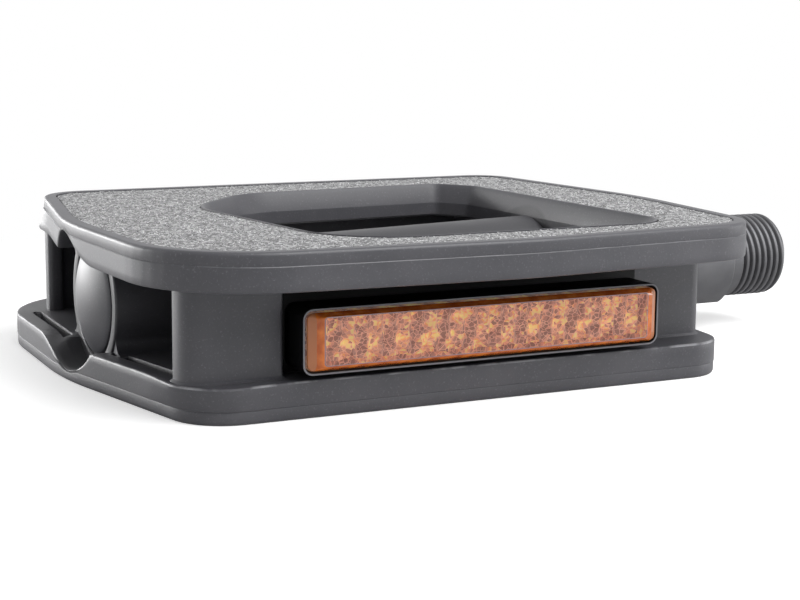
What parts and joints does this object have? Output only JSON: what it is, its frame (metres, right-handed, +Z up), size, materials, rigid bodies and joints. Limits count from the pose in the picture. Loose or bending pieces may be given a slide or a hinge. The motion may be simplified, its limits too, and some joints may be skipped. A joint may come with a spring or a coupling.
{
  "type": "flat pedal",
  "caption": "Flat bicycle pedal with a resin platform, a grip pad on each face, amber edge reflectors and a threaded steel spindle on ball bearings.",
  "frame": {"origin": "on the spindle's axis, at the shoulder that seats against the crank arm", "axes": "+X along the spindle towards the crank, -Y towards the front reflector, +Z up through the top deck"},
  "size_m": [0.1287, 0.0934, 0.0242],
  "materials": {
    "resin": "matte, moulded",
    "grip_sheet": "coarse mineral grit",
    "black_plastic": "matte",
    "amber_lens": "clear amber, prismatic",
    "spindle_steel": "satin, phosphated",
    "bearing_steel": "ground",
    "cap_plastic": "satin, moulded",
    "seal_rubber": "matte"
  },
  "bodies": {
    "spindle": {"spindle": "spindle_steel", "adjusting_cone": "bearing_steel", "lock_washer": "bearing_steel", "lock_nut": "bearing_steel"},
    "platform": {"pedal_frame": "resin", "grip_pad_top": "grip_sheet", "grip_pad_bottom": "grip_sheet", "reflector_housing_front": "black_plastic", "reflector_housing_rear": "black_plastic", "reflector_lens_front": "amber_lens", "reflector_lens_rear": "amber_lens", "bearing_cup_inboard": "bearing_steel", "bearing_cup_outboard": "bearing_steel", "end_cap": "cap_plastic", "dust_seal": "seal_rubber"},
    "balls_inboard": {"ball_ring_inboard": "bearing_steel"},
    "balls_outboard": {"ball_ring_outboard": "bearing_steel"}
  },
  "joints": [
    {"name": "platform_spin", "type": "hinge", "parent": "spindle", "child": "platform", "pos_m": [0, 0, 0], "axis": [1, 0, 0], "continuous": true},
    {"name": "balls_inboard_spin", "type": "hinge", "parent": "spindle", "child": "balls_inboard", "pos_m": [-0.0236, 0, 0], "axis": [1, 0, 0], "continuous": true},
    {"name": "balls_outboard_spin", "type": "hinge", "parent": "spindle", "child": "balls_outboard", "pos_m": [-0.1023, 0, 0], "axis": [1, 0, 0], "continuous": true}
  ],
  "couplings": [
    {"joint": "balls_inboard_spin", "follows": "platform_spin", "ratio": 0.5813},
    {"joint": "balls_outboard_spin", "follows": "platform_spin", "ratio": 0.5935}
  ]
}
